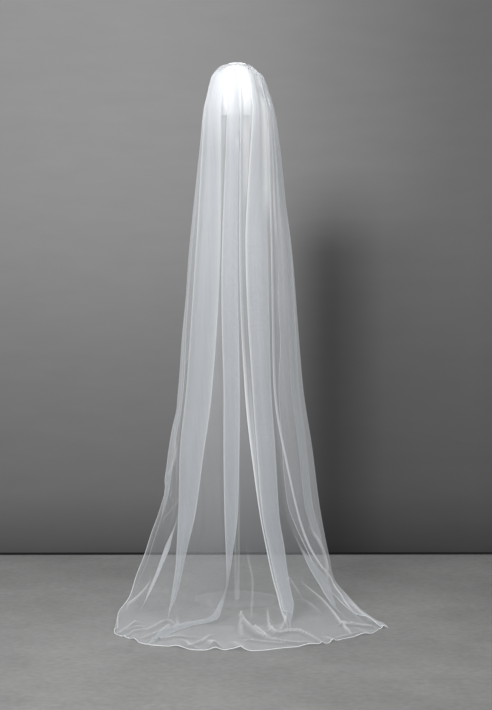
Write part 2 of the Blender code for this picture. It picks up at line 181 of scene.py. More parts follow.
# One row for each cross-section of the sheet, from the comb to the hem. A section
# is a C seen from above: it reaches left and right of its centre, near toward the
# train and far toward the face, and its edges are at angles from the train's
# direction. Point is above 1 where the right half narrows to a corner.
Station = namedtuple(
    "Station", "height side_height left right near centre far edge_left edge_right point")
STATIONS = [
    Station(1.7486, 1.7445, 0.0370, 0.0380, 0.010, 0.010, 0.006, -128, 130, 1.0),
    Station(1.7456, 1.7420, 0.0500, 0.0460, 0.042, 0.004, 0.026, -128, 130, 1.0),
    Station(1.7270, 1.7260, 0.0680, 0.0640, 0.066, 0.000, 0.056, -128, 130, 1.0),
    Station(1.7060, 1.7080, 0.0800, 0.0840, 0.087, 0.000, 0.078, -128, 130, 1.0),
    Station(1.6600, 1.6600, 0.0915, 0.1005, 0.102, 0.000, 0.092, -128, 130, 1.0),
    Station(1.6000, 1.6000, 0.1060, 0.1190, 0.110, 0.000, 0.098, -128, 131, 1.0),
    Station(1.4800, 1.4800, 0.1190, 0.1370, 0.118, 0.000, 0.102, -128, 131, 1.0),
    Station(1.3000, 1.3000, 0.1380, 0.1570, 0.130, 0.000, 0.106, -128, 130, 1.0),
    Station(1.1400, 1.1400, 0.1540, 0.1770, 0.143, 0.000, 0.110, -127, 130, 1.0),
    Station(0.9000, 0.9000, 0.1720, 0.1960, 0.158, 0.000, 0.116, -129, 134, 1.0),
    Station(0.7000, 0.7000, 0.1870, 0.2130, 0.172, 0.000, 0.120, -98, 138, 1.0),
    Station(0.5000, 0.5000, 0.2200, 0.2430, 0.186, -0.008, 0.125, -91, 142, 1.0),
    Station(0.3200, 0.3250, 0.2440, 0.2650, 0.200, -0.020, 0.130, -90, 141, 1.0),
    Station(0.2100, 0.2300, 0.2750, 0.2810, 0.207, -0.035, 0.130, -90, 135, 1.0),
    Station(0.1200, 0.1600, 0.2970, 0.2950, 0.210, -0.060, 0.120, -90, 128, 1.0),
    Station(0.0450, 0.0950, 0.3240, 0.3100, 0.215, -0.095, 0.100, -90, 122, 1.0),
    Station(0.0000, 0.0450, 0.3410, 0.3540, 0.240, -0.160, 0.080, -90, 119, 1.2),
    Station(0.0000, 0.0120, 0.3710, 0.4030, 0.270, -0.280, 0.060, -90, 116, 1.5),
    Station(0.0000, 0.0000, 0.3650, 0.4470, 0.303, -0.420, 0.030, -90, 104, 1.9),
]
CROWN_END, HEM = 5, 18

# One row for each fold that doubles the sheet back on itself, from the left edge to
# the right edge. Crowding is how much more net a narrow fold holds than a broad one.
# The spans are its left and right limits at the sections named in FOLD_SECTIONS: in
# metres from the middle on the near side, or as shares of the edge's angle for the
# two folds at the sides.
FOLD_SECTIONS = (5, 8, 10, 12, 13, 14, 15, 15.5, 16, 17, 18)
Fold = namedtuple("Fold", "name begins ends depth columns crowding by_share spans")
FOLDS = [
    Fold("left_side", 2.0, 12.8, 0.008, 18, 1.0, True, [
        (0.86, 0.76), (0.86, 0.76), (0.86, 0.76), (0.88, 0.80), (0.88, 0.81),
        (0.88, 0.82), (0.89, 0.84), (0.90, 0.85), (0.90, 0.86), (0.90, 0.86), (0.90, 0.86)]),
    Fold("left_line", 11.8, 16.2, 0.004, 14, 1.4, False, [
        (-0.1015, -0.0985), (-0.140, -0.133), (-0.167, -0.161), (-0.1890, -0.1825),
        (-0.2240, -0.2110), (-0.2510, -0.2440), (-0.2790, -0.2740), (-0.291, -0.286),
        (-0.3045, -0.2995), (-0.320, -0.312), (-0.330, -0.322)]),
    Fold("broad_left", 1.5, 16.4, 0.011, 30, 1.0, False, [
        (-0.0956, -0.0542), (-0.1266, -0.0538), (-0.1573, -0.0818), (-0.1806, -0.1343),
        (-0.1845, -0.1595), (-0.1895, -0.1785), (-0.2030, -0.1945), (-0.2120, -0.2040),
        (-0.2180, -0.2080), (-0.250, -0.240), (-0.288, -0.278)]),
    Fold("middle", 1.5, 18.6, 0.009, 24, 1.0, False, [
        (-0.0287, 0.0064), (-0.0459, 0.0032), (-0.0409, 0.0094), (-0.0385, 0.0030),
        (-0.0345, -0.0110), (-0.0320, -0.0255), (-0.0570, -0.0445), (-0.0780, -0.0560),
        (-0.1480, -0.1180), (-0.2220, -0.1950), (-0.2620, -0.2400)]),
    Fold("tight_line", 3.0, 16.6, 0.005, 14, 2.6, False, [
        (0.0112, 0.0185), (0.0068, 0.0175), (0.0236, 0.0346), (0.0690, 0.0755),
        (0.0895, 0.0960), (0.1085, 0.1150), (0.1285, 0.1350), (0.1370, 0.1430),
        (0.1440, 0.1500), (0.136, 0.144), (0.146, 0.154)]),
    Fold("broad_right", 1.5, 16.8, 0.008, 24, 1.0, False, [
        (0.0478, 0.0829), (0.0253, 0.1012), (0.0472, 0.1110), (0.0760, 0.1340),
        (0.0965, 0.1505), (0.1155, 0.1620), (0.1355, 0.1760), (0.1440, 0.1740),
        (0.1510, 0.1690), (0.150, 0.165), (0.160, 0.174)]),
    Fold("right_crease", 12.2, 17.2, 0.005, 18, 1.0, False, [
        (0.0860, 0.0890), (0.1030, 0.1050), (0.1125, 0.1145), (0.152, 0.159),
        (0.1920, 0.2000), (0.2292, 0.2575), (0.2671, 0.2980), (0.2860, 0.3050),
        (0.3050, 0.3130), (0.340, 0.348), (0.362, 0.370)]),
    Fold("right_line", 3.0, 17.4, 0.005, 14, 1.7, False, [
        (0.0924, 0.1004), (0.1076, 0.1155), (0.1164, 0.1258), (0.187, 0.196),
        (0.2205, 0.2300), (0.2635, 0.2710), (0.3030, 0.3075), (0.3210, 0.3260),
        (0.338, 0.345), (0.372, 0.380), (0.400, 0.408)]),
    Fold("right_side", 2.0, 14.5, 0.008, 18, 1.0, True, [
        (0.80, 0.88), (0.80, 0.88), (0.80, 0.88), (0.80, 0.87), (0.80, 0.87), (0.80, 0.87),
        (0.82, 0.88), (0.83, 0.89), (0.84, 0.89), (0.86, 0.90), (0.88, 0.92)]),
]
FOLD_FADE = 1.6

# Thicknesses of net by section, fine pleats counted: all over, and times more in folds
PLEATING = [(0, 2.4), (4, 2.7), (5, 2.8), (6, 2.8), (7, 2.7), (8, 2.4), (9, 1.95),
            (10, 1.75), (11, 1.5), (12, 1.3), (13, 1.15), (15, 1.0), (18, 0.95)]
FOLD_PLEATING = [(3, 1.0), (8, 1.1), (10, 1.3), (12, 1.9), (14, 2.2), (15.2, 1.9),
                 (16, 1.3), (18, 1.0)]
GAP_PLEATING = (1.0, 0.90, 1.0, 1.10, 0.72, 4.0, 0.72, 1.15, 1.1, 1.0)
HEADING_PLEATS = 2.2
TURN_PLEATS = 1.6           # how much net is crowded into the turned edge of a fold
TURN_PLACE = 0.498
TURN_REACH = 0.10
FOLD_INSIDE = 0.97
RIDGE_SHAPE = 1.6
RIDGE_CREST = 0.0034
RIDGE_HIGH = 0.012
RIDGE_GATHERS = 1.3
# Painted light on the net, as shares between its shade and highlight colours: open cloth, painted
# shade inside folds by section, narrow folds and turned edges
CLOTH_PAINTED_LIGHT = 0.42
FOLD_PAINTED_SHADE = [(0, 0.38), (6, 0.36), (9, 0.28), (12, 0.20), (18, 0.20)]
LINE_PAINTED_LIGHT = 0.70
EDGE_PAINTED_HIGHLIGHT = 0.90

# The sections between which something grows from nothing to full
GATHERS_START = (0.0, 2.5)
FOLDS_DEEPEN = (0.5, 4.0)
PLEATS_SHOW = (3.0, 5.5)
EDGES_TURN = (3.5, 7.0)
DRAPE_STARTS = (4.0, 9.0)
FAR_WAVE_STARTS = (7, 8.5)
FOLDS_TIGHTEN = (8.5, 11.5)
GAPS_DIFFER = (9.0, 12.0)
RIDGES_RISE = (13.6, 15.6)
LIES_DOWN = (14.0, 16.2)
HEM_STARTS = (16.4, 18)

# The sections between which something dies away
GATHERS_STOP = (5.5, 10.5)
PLEATS_FADE = (8.5, 12.5)
FAR_WAVE_STOPS = (10.5, 12)
GAPS_EVEN_OUT = (14.4, 17.2)

# The curves of a fold's profile: a power sets where each turns, and a scale brings two
# of them to a peak of 1
BACKWARD_POWER = 2
BACKWARD_SCALE = 1.5 * math.sqrt(3)
LAYER_POWER = 6
LAYER_SCALE = 1 / 0.62
LIFT_POWER = 8
GAP_COLUMNS = (10, 16, 14, 26, 44, 5, 36, 12, 34, 12)

# Soft creases on the near side: a row gives the sections and the places in metres
# from the middle that it runs through, its half width, its height and how many more
# thicknesses of net it gathers up. It fades over sections beyond and within its ends.
CREASE_BEYOND = 0.4
CREASE_WITHIN = 0.5
NEAR_SIDE = -0.1            # cosine of the angle as far round as a crease may show
Crease = namedtuple("Crease", "sections places width height gathers")
CREASES = [
    Crease((4.0, 5.5, 6.6), (-0.083, -0.080, -0.078), 0.0022, 0.0040, 0.4),
    Crease((5.8, 7.0, 8.0), (-0.080, -0.071, -0.066), 0.0025, 0.0030, 0.5),
    Crease((4.0, 6.0, 8.5), (-0.006, -0.014, -0.036), 0.0022, 0.0045, 0.4),
    Crease((5.2, 6.5, 7.8), (-0.002, 0.010, 0.014), 0.0022, 0.0045, 0.4),
    Crease((4.0, 5.5, 6.6), (0.043, 0.046, 0.048), 0.0022, 0.0045, 0.4),
    Crease((6.4, 7.4, 9.0), (0.040, 0.061, 0.074), 0.0030, 0.0025, 0.5),
    Crease((4.5, 6.2, 7.6), (0.099, 0.113, 0.124), 0.0022, 0.0035, 0.4),
    Crease((4.4, 5.6, 7.2), (0.078, 0.088, 0.090), 0.0200, 0.0020, 1.1),
    Crease((5.4, 6.2, 7.0), (0.022, 0.030, 0.034), 0.0180, 0.0020, 0.5),
    Crease((10.7, 11.0, 11.25, 11.5), (-0.198, -0.193, -0.205, -0.231), 0.0030, 0.0050, 1.2),
    Crease((11.4, 11.6, 11.8), (-0.232, -0.218, -0.203), 0.0026, 0.0040, 1.0),
    Crease((11.7, 12.0, 12.3), (-0.180, -0.206, -0.234), 0.0026, -0.0040, 0.8),
    Crease((11.0, 11.46, 11.82, 12.1), (-0.119, -0.149, -0.171, -0.182), 0.0022, 0.0035, 1.0),
    Crease((11.0, 11.36, 11.65), (0.078, 0.098, 0.123), 0.0020, 0.0035, 1.0),
    Crease((12.54, 13.06, 13.5, 14.2, 14.8), (0.231, 0.258, 0.275, 0.285, 0.291),
           0.0044, 0.0050, 1.1),
    Crease((14.6, 15.0, 15.6, 16.2), (-0.276, -0.292, -0.318, -0.342), 0.0026, 0.0050, 1.6),
    Crease((14.4, 14.76, 15.88, 17.0, 17.7), (0.206, 0.232, 0.292, 0.319, 0.336),
           0.0028, 0.0070, 2.0),
    Crease((13.6, 14.13, 14.92), (0.128, 0.165, 0.202), 0.0026, 0.0035, 1.2),
    Crease((14.9, 15.1, 15.74), (0.179, 0.210, 0.256), 0.0040, 0.0040, 1.0),
    Crease((15.2, 16.6, 16.96), (0.093, 0.103, 0.116), 0.0035, 0.0080, 1.6),
    Crease((13.2, 14.15, 15.5), (0.033, 0.048, 0.044), 0.0026, 0.0060, 1.2),
    Crease((13.8, 14.4, 15.0), (0.003, 0.001, 0.000), 0.0026, 0.0040, 0.8),
    Crease((14.6, 15.0, 15.3), (-0.091, -0.082, -0.075), 0.0026, 0.0050, 0.8),
    Crease((15.5, 16.0, 16.5), (-0.185, -0.180, -0.174), 0.0030, 0.0030, 0.6),
]

# Ridges of cloth that lie on the floor: both ends in plan, the height at each end
# and the half width.
Ridge = namedtuple("Ridge", "start end high low width")
RIDGES = [
    Ridge((0.012, -0.355), (0.060, -0.530), 0.030, 0.016, 0.009),
    Ridge((0.060, -0.530), (0.095, -0.590), 0.016, 0.011, 0.008),
    Ridge((0.095, -0.590), (0.195, -0.655), 0.011, 0.006, 0.009),
    Ridge((0.054, -0.421), (0.086, -0.557), 0.012, 0.012, 0.007),
    Ridge((0.010, -0.360), (0.014, -0.560), 0.014, 0.004, 0.006),
    Ridge((0.104, -0.470), (0.118, -0.524), 0.012, 0.013, 0.008),
    Ridge((0.118, -0.524), (0.151, -0.492), 0.013, 0.014, 0.007),
    Ridge((0.151, -0.492), (0.187, -0.498), 0.014, 0.013, 0.007),
    Ridge((0.187, -0.498), (0.217, -0.580), 0.013, 0.010, 0.007),
    Ridge((0.217, -0.580), (0.243, -0.644), 0.010, 0.008, 0.008),
    Ridge((0.151, -0.326), (0.132, -0.468), 0.010, 0.006, 0.007),
    Ridge((0.336, -0.130), (0.367, -0.226), 0.001, 0.009, 0.008),
    Ridge((0.367, -0.226), (0.407, -0.363), 0.009, 0.009, 0.008),
    Ridge((0.407, -0.363), (0.440, -0.418), 0.009, 0.008, 0.008),
    Ridge((0.318, -0.412), (0.402, -0.424), 0.012, 0.010, 0.008),
    Ridge((-0.206, -0.352), (-0.178, -0.428), 0.004, 0.003, 0.006),
    Ridge((-0.219, -0.370), (-0.268, -0.475), 0.008, 0.005, 0.008),
    Ridge((-0.202, -0.456), (-0.270, -0.569), 0.012, 0.005, 0.008),
    Ridge((-0.307, -0.389), (-0.348, -0.504), 0.010, 0.004, 0.008),
    Ridge((-0.063, -0.700), (-0.078, -0.600), 0.026, 0.005, 0.014),
    Ridge((-0.130, -0.690), (-0.150, -0.610), 0.012, 0.004, 0.010),
    Ridge((0.010, -0.722), (-0.010, -0.640), 0.010, 0.004, 0.010),
    Ridge((0.284, -0.634), (0.260, -0.560), 0.012, 0.004, 0.010),
    Ridge((-0.140, -0.672), (-0.106, -0.625), 0.006, 0.010, 0.008),
    Ridge((-0.106, -0.625), (-0.073, -0.519), 0.010, 0.004, 0.008),
    Ridge((-0.289, -0.436), (-0.345, -0.480), 0.007, 0.004, 0.007),
    Ridge((-0.278, -0.464), (-0.330, -0.545), 0.006, 0.004, 0.007),
    Ridge((-0.246, -0.590), (-0.190, -0.568), 0.006, 0.009, 0.007),
    Ridge((-0.190, -0.568), (-0.130, -0.560), 0.009, 0.005, 0.007),
    Ridge((0.040, -0.600), (0.130, -0.640), 0.008, 0.006, 0.008),
    Ridge((0.300, -0.560), (0.345, -0.520), 0.008, 0.005, 0.007),
]


def smooth_curve(stations, values, where):
    """The value at a place, on a curve through the stations that never overshoots them."""
    steps = np.diff(stations)
    slopes = np.diff(values) / steps
    tangents = np.zeros(len(values))
    for i in range(1, len(values) - 1):
        before, after = slopes[i - 1], slopes[i]
        if before * after > 0:
            tangents[i] = 2 * before * after / (before + after)
    tangents[0], tangents[-1] = slopes[0], slopes[-1]
    i = int(np.clip(np.searchsorted(stations, where, side="right") - 1, 0, len(steps) - 1))
    t = float(np.clip((where - stations[i]) / steps[i], 0, 1))
    return ((1 + 2 * t) * (1 - t) ** 2 * values[i] + t * (1 - t) ** 2 * steps[i] * tangents[i]
            + t * t * (3 - 2 * t) * values[i + 1] - t * t * (1 - t) * steps[i] * tangents[i + 1])


def rise(start, end, where):
    t = np.clip((where - start) / (end - start), 0, 1)
    return t * t * (3 - 2 * t)


def unit(vectors):
    return vectors / np.linalg.norm(vectors, axis=-1, keepdims=True)


def station_at(level):
    numbers = range(len(STATIONS))
    return Station(*(smooth_curve(numbers, column, level) for column in zip(*STATIONS)))


def fold_limits():
    """Each fold's left and right angles at the sections of FOLD_SECTIONS."""
    limits = []
    for fold in FOLDS:
        rows = []
        for number, span in zip(FOLD_SECTIONS, fold.spans):
            station = station_at(number)
            if fold.by_share:
                edge = station.edge_left if fold.name == "left_side" else station.edge_right
                rows.append([share * math.radians(edge) for share in span])
            else:
                rows.append([math.asin(x / (station.left if x < 0 else station.right))
                             for x in span])
        limits.append(np.array(rows))
    return limits


LIMITS = fold_limits()


def fullness(fold, level):
    """How far a fold is closed at a level: 0 is open, 1 doubles right back."""
    opening = rise(fold.begins, fold.begins + FOLD_FADE, level)
    closing = 1 - rise(fold.ends - FOLD_FADE, fold.ends, level)
    return opening * closing


def sheet_columns():
    """The columns: which gap (even) or fold (odd) each one is in, and its place in it."""
    stretches, places = [0], [0.0]
    for number, count in enumerate(GAP_COLUMNS):
        for i in range(1, count + 1):
            stretches.append(2 * number)
            places.append(i / count)
        if number < len(FOLDS):
            count = FOLDS[number].columns
            for i in range(1, count):
                stretches.append(2 * number + 1)
                places.append(2 * i / count - 1)
            stretches.append(2 * number + 2)
            places.append(0.0)
    return np.array(stretches), np.array(places)


STRETCHES, PLACES = sheet_columns()


def limit_angles(level, at):
    """The angles that part gaps and folds at a level, from the left edge to the right."""
    angles = [math.radians(at.edge_left)]
    for limits in LIMITS:
        angles += [smooth_curve(FOLD_SECTIONS, limits[:, side], max(level, CROWN_END))
                   for side in (0, 1)]
    angles.append(math.radians(at.edge_right))
    return angles


def folded_columns(level, angles):
    """For each column: its angle, layer and share in a fold, that fold's depth and fullness."""
    angle, layer, share, depth, folded = (np.zeros(len(STRETCHES)) for _ in range(5))
    for number in range(len(angles) - 1):
        inside = STRETCHES == number
        place = PLACES[inside]
        low, high = angles[number], angles[number + 1]
        if number % 2 == 0:
            angle[inside] = low + place * (high - low)
        else:
            fold = FOLDS[number // 2]
            full = fullness(fold, level)
            back = OVERLAP * full * BACKWARD_SCALE * place * (1 - place ** BACKWARD_POWER)
            angle[inside] = (low + high) / 2 + (high - low) / 2 * (place - back)
            layer[inside] = full * LAYER_SCALE * place * (1 - place ** LAYER_POWER)
            share[inside] = full * (1 - place ** LIFT_POWER)
            depth[inside] = fold.depth
            folded[inside] = full
    return angle, layer, share, depth, folded


def stray_edges(level, height, angle, ends):
    """How far the edges stray outward: pinches at the left, a slow wave at the right."""
    left = np.exp(-((angle - ends[0]) / EDGE_REACH) ** 2)
    right = np.exp(-((angle - ends[-1]) / EDGE_REACH) ** 2)
    pinch = sum(inward * math.exp(-((height - middle) / half) ** 2)
                for middle, half, inward in LEFT_PINCHES)
    grown = rise(*FAR_WAVE_STARTS, level) * (1 - rise(*FAR_WAVE_STOPS, level))
    turn = 2 * math.pi * (height - FAR_EDGE_CREST) / FAR_EDGE_PITCH
    return FAR_EDGE_WAVE * grown * right * math.cos(turn) - pinch * left


def wander(place, waves):
    return sum(size * np.sin(pitch * place + phase) for size, pitch, phase in waves)


def fine_pleats(level, cloth, lying):
    """How far gathers and drape push the cloth outward, and the net in the gathers' crests."""
    turn = 2 * math.pi * (GATHERS * cloth + wander(cloth, GATHERS_WANDER))
    stop = level + wander(cloth, STOPS_WANDER)
    strength = rise(*GATHERS_START, level) * (1 - rise(*GATHERS_STOP, stop))
    push = GATHER_DEPTH * strength * np.sin(turn)
    drape = DRAPE_WAVES * cloth + wander(cloth, DRAPE_WANDER) + DRAPE_TURNS * level
    strength = rise(*DRAPE_STARTS, level) * (1 - lying)
    push = push + DRAPE_DEPTH * strength * np.sin(2 * math.pi * drape)
    crests = np.maximum(0, np.sin(turn)) ** CREST_SHARPNESS
    crests = crests * (1 - PLEATS_SMOOTH * rise(*PLEATS_SPREAD, cloth))
    shown = rise(*PLEATS_SHOW, level) * (1 - rise(*PLEATS_FADE, stop))
    return push, PLEAT_GATHERS * shown * crests


def soft_creases(level, x, seen):
    """The creases' height at each column, and how much more net they gather there."""
    height, gathered = np.zeros(len(x)), np.zeros(len(x))
    for crease in CREASES:
        first, last = crease.sections[0], crease.sections[-1]
        fade = (rise(first - CREASE_BEYOND, first + CREASE_WITHIN, level)
                * (1 - rise(last - CREASE_WITHIN, last + CREASE_BEYOND, level)))
        if fade > 0:
            middle = smooth_curve(crease.sections, crease.places, level)
            form = fade * np.exp(-((x - middle) / crease.width) ** 2) * seen
            height = height + crease.height * form
            gathered = np.maximum(gathered, crease.gathers * form)
    return height, gathered


def section(level, cloth):
    """Points along one cross-section, one for each column, and the net gathered there.

    Cloth gives each column's place across the cut, 0 to 1, once that is known.
    """
    at = station_at(level)
    angles = limit_angles(level, at)
    angle, layer, share, depth, folded = folded_columns(level, angles)

    side = np.where(angle < 0, at.left, at.right)
    across, along = np.sin(angle), np.cos(angle)
    bow = np.where(angle > 0, np.maximum(along, 0) ** at.point, along)
    reach = np.where(along > 0, at.near, at.far)
    x = side * across
    y = at.centre - reach * np.where(along > 0, bow, along)
    z = at.height + (at.side_height - at.height) * np.clip(1 - along, 0, 1)
    out = unit(np.stack([across / side, -along / reach], axis=-1))

    lying = rise(*LIES_DOWN, level)
    hem = rise(*HEM_STARTS, level)
    wave = np.sin(HEM_WAVES * angle + HEM_UNEVEN * np.sin(HEM_WANDER * angle))
    push = (1 - lying) * rise(*FOLDS_DEEPEN, level) * depth * layer + hem * HEM_SWAY * wave
    push = push + stray_edges(level, at.height, angle, angles)
    lift = lying * FLOOR_LAYER * (layer + share)
    lift = lift + hem * HEM_LIFT * np.maximum(0, np.cos(HEM_WAVES * angle)) ** 2

    gathered = np.zeros(len(x))
    if cloth is not None:
        pleats, in_pleats = fine_pleats(level, cloth, lying)
        creased, in_creases = soft_creases(level, x, (along > NEAR_SIDE) * (1 - folded))
        push = push + pleats + (1 - lying) * creased
        lift = lift + lying * creased
        gathered = np.maximum(in_pleats, in_creases)
    x = x + out[:, 0] * push
    y = y + out[:, 1] * push
    if cloth is not None and level > RIDGES_RISE[0]:
        risen = rise(*RIDGES_RISE, level)
        ridges, crowded = floor_ridges(x, y)
        lift = lift + ridges * risen
        gathered = np.maximum(gathered, crowded * (1 - folded) * risen)
    z = np.maximum(z + lift, THREAD_ROOM)
    return np.stack([x, y, z], axis=1), gathered


def floor_ridges(x, y):
    """The height of the cloth's ridges on the floor, and the net crowded into them."""
    height, crowded = np.zeros(len(x)), np.zeros(len(x))
    for ridge in RIDGES:
        start, end = np.array(ridge.start), np.array(ridge.end)
        run = end - start
        length = np.linalg.norm(run)
        along = ((x - start[0]) * run[0] + (y - start[1]) * run[1]) / length ** 2
        held = np.clip(along, 0, 1)
        away = np.hypot(x - start[0] - held * run[0], y - start[1] - held * run[1])
        top = ridge.high + (ridge.low - ridge.high) * held
        height = np.maximum(height, top * np.exp(-(away / ridge.width) ** RIDGE_SHAPE))
        crest = np.exp(-(away / RIDGE_CREST) ** 2) * np.clip(top / RIDGE_HIGH, 0, 1)
        crowded = np.maximum(crowded, RIDGE_GATHERS * crest)
    return height, crowded


def whole_sheet():
    """The sheet's points, a row for each level, and its cloth coordinates in metres."""
    reference, _ = section(REFERENCE, None)
    steps = np.linalg.norm(np.diff(reference, axis=0), axis=1)
    across = np.concatenate([[0], np.cumsum(steps)])
    cloth = across / across[-1]
    levels = np.concatenate([np.linspace(start, end, rows, endpoint=False)
                             for start, end, rows in ROW_COUNTS] + [[HEM]])
    rows = [section(level, cloth) for level in levels]
    points = np.array([row[0] for row in rows])
    gathered = np.array([row[1] for row in rows])
    wide = np.linalg.norm(np.diff(points, axis=1), axis=2)
    u = np.concatenate([np.zeros((len(levels), 1)), np.cumsum(wide, axis=1)], axis=1)
    u -= u[:, [u.shape[1] // 2]]
    long = np.median(np.linalg.norm(np.diff(points, axis=0), axis=2), axis=1)
    v = np.concatenate([[0], np.cumsum(long)])
    return points, u, v, *net_in_sheet(levels, gathered)


def net_in_sheet(levels, gathered):
    """How many thicknesses of net lie at each point, and the light and shade painted on them.

    The cut is as wide at the comb as at the hem, so what is gathered in is there
    as fine pleats. Turned edges, creases, ridges and the crests of gathers get a
    painted highlight, the insides of broad folds get painted shade, and narrow
    folds are painted paler.
    """
    pleated = np.interp(levels, *zip(*PLEATING))
    in_folds = np.interp(levels, *zip(*FOLD_PLEATING))[:, None]
    shade = np.interp(levels, *zip(*FOLD_PAINTED_SHADE))[:, None]
    uneven = (rise(*GAPS_DIFFER, levels) * (1 - rise(*GAPS_EVEN_OUT, levels)))[:, None]
    tightened = rise(*FOLDS_TIGHTEN, levels)[:, None]
    close = np.tile(pleated[:, None], (1, len(STRETCHES)))
    painted_light_share = np.full(close.shape, CLOTH_PAINTED_LIGHT)
    for number, share in enumerate(GAP_PLEATING):
        close[:, STRETCHES == 2 * number] *= 1 + (share - 1) * uneven
    for number, fold in enumerate(FOLDS):
        inside = STRETCHES == 2 * number + 1
        place = np.abs(PLACES[inside])
        full = np.array([fullness(fold, level) for level in levels])[:, None]
        turned = full * np.exp(-((place - TURN_PLACE) / TURN_REACH) ** 2)
        turned = turned * rise(*EDGES_TURN, levels)[:, None]
        within = full * (place < FOLD_INSIDE)
        narrow = (fold.crowding - 1) * tightened
        held = in_folds * (1 + narrow)
        close[:, inside] *= 1 + (held - 1) * within + TURN_PLEATS * turned
        # Painted shade inside folds, paler for narrow folds, and a painted highlight on turned
        # edges
        tone = shade + (LINE_PAINTED_LIGHT - shade) * np.clip(narrow, 0, 1)
        painted_light_share[:, inside] += (tone - CLOTH_PAINTED_LIGHT) * within * (1 - turned)
        painted_light_share[:, inside] += (EDGE_PAINTED_HIGHLIGHT - CLOTH_PAINTED_LIGHT) * turned
    close *= 1 + gathered
    # Painted highlight on gather crests, creases and floor ridges
    painted_light_share += (EDGE_PAINTED_HIGHLIGHT - CLOTH_PAINTED_LIGHT) * np.clip(gathered / RIDGE_GATHERS, 0, 1)
    return close, np.clip(painted_light_share, 0, 1)


class Value:
    """A number that varies over a surface: operators on it add Math nodes."""

    def __init__(self, nodes, socket):
        self.nodes, self.socket = nodes, socket

    def math(self, operation, *others):
        return self.nodes.math(operation, self, *others)

    def between(self, low, high):
        """Spreads a value of 0 to 1 over a range."""
        return low + self * (high - low)

    def __add__(self, other):
        return self.math("ADD", other)

    def __mul__(self, other):
        return self.math("MULTIPLY", other)

    def __sub__(self, other):
        return self.math("SUBTRACT", other)

    def __rsub__(self, other):
        return self.nodes.math("SUBTRACT", other, self)

    def __truediv__(self, other):
        return self.math("DIVIDE", other)

    def __rtruediv__(self, other):
        return self.nodes.math("DIVIDE", other, self)

    def __pow__(self, other):
        return self.math("POWER", other)

    def __rpow__(self, other):
        return self.nodes.math("POWER", other, self)

    __radd__ = __add__
    __rmul__ = __mul__


class Nodes:
    """The nodes of one material or world, with a method that adds any of them."""

    def __init__(self, tree):
        self.tree = tree

    def node(self, kind, settings=None, inputs=None, output=0):
        made = self.tree.nodes.new(kind)
        for key, value in (settings or {}).items():
            setattr(made, key, value)
        for key, value in (inputs or {}).items():
            if isinstance(value, Value):
                self.tree.links.new(value.socket, made.inputs[key])
            else:
                made.inputs[key].default_value = value
        return Value(self, made.outputs[output])

    def math(self, operation, *values):
        return self.node("ShaderNodeMath", {"operation": operation}, dict(enumerate(values)))

    def coordinates(self, output="Object"):
        return self.node("ShaderNodeTexCoord", output=output)

    def part(self, vector, axis):
        return self.node("ShaderNodeSeparateXYZ", {}, {"Vector": vector}, output=axis)

    def noise(self, scale, detail=3.0, where=None):
        return self.node("ShaderNodeTexNoise", {}, {
            "Vector": where or self.coordinates(), "Scale": scale, "Detail": detail}, output="Fac")

    def mix(self, factor, first, second, kind="MIX"):
        return self.node("ShaderNodeMix", {"data_type": "RGBA", "blend_type": kind},
                         {"Factor": factor, 6: first, 7: second}, output=2)


class Shader(Nodes):
    """One material with a Principled shader."""

    def __init__(self, name, **sockets):
        self.material = bpy.data.materials.new(name)
        self.material.use_nodes = True
        super().__init__(self.material.node_tree)
        self.principled = self.tree.nodes["Principled BSDF"]
        for socket, value in sockets.items():
            self.principled.inputs[socket.replace("_", " ")].default_value = value

    def feed(self, socket, value):
        self.tree.links.new(value.socket, self.principled.inputs[socket])

    def colour(self, factor, first, second):
        self.feed("Base Color", self.mix(factor, first, second))

    def bump(self, height, distance, strength=1.0):
        self.feed("Normal", self.node("ShaderNodeBump", {}, {
            "Strength": strength, "Distance": distance, "Height": height}, output="Normal"))


# Net: cover is a thread's or a hole's share of the whole, and pairs are ranges
NET_PITCH = 0.0018
TULLE_OPACITY = 0.155
HEADING_OPACITY = 0.7
GRAZING = 0.10
THREAD_COVER = 1.28
HOLE_COVER = 0.66
PATCHES = (0.92, 1.08)
STREAKS = (95, 3, 1)        # fine lines that the cloth's fall draws, across and along it
STREAK_COVER = (0.84, 1.16)
TONE_UNEVEN = (-0.06, 0.06)
SLANT_SHARE = 0.55          # share of the threads that close up when seen aslant

# Colours, as pairs that each material mixes
# The tulle's pair is a painted shade colour and a painted highlight colour
TULLE_SHADE_AND_HIGHLIGHT = ((0.47, 0.505, 0.54, 1), (0.97, 0.98, 1.0, 1))
THREAD_COLOURS = ((0.80, 0.84, 0.88, 1), (0.93, 0.95, 0.96, 1))
FORM_COLOURS = ((0.93, 0.93, 0.93, 1), (0.97, 0.97, 0.965, 1))
ACRYLIC_COLOURS = ((0.80, 0.86, 0.88, 1), (0.88, 0.92, 0.93, 1))
COMB_COLOURS = ((0.86, 0.86, 0.84, 1), (0.94, 0.93, 0.90, 1))
FLOOR_COLOURS = ((0.04, 0.04, 0.039, 1), (0.35, 0.35, 0.345, 1))
SHADOW_COLOUR = (0.012, 0.012, 0.012, 1)
BLACK = (0.0, 0.0, 0.0, 1)

# Floor: how much each noise counts, and a painted pool of light
FLOOR_BROAD = 0.42
FLOOR_STREAKS = 0.22
FLOOR_FINE = 0.38
FLOOR_LIT_POOL = 0.30
FLOOR_GRAIN = 0.30
FLOOR_DARKER = 0.15
LIT_POOL_PLACE = (0.16, 0.34, 0)
LIT_POOL_SCALE = (0.62, 0.62, 1)


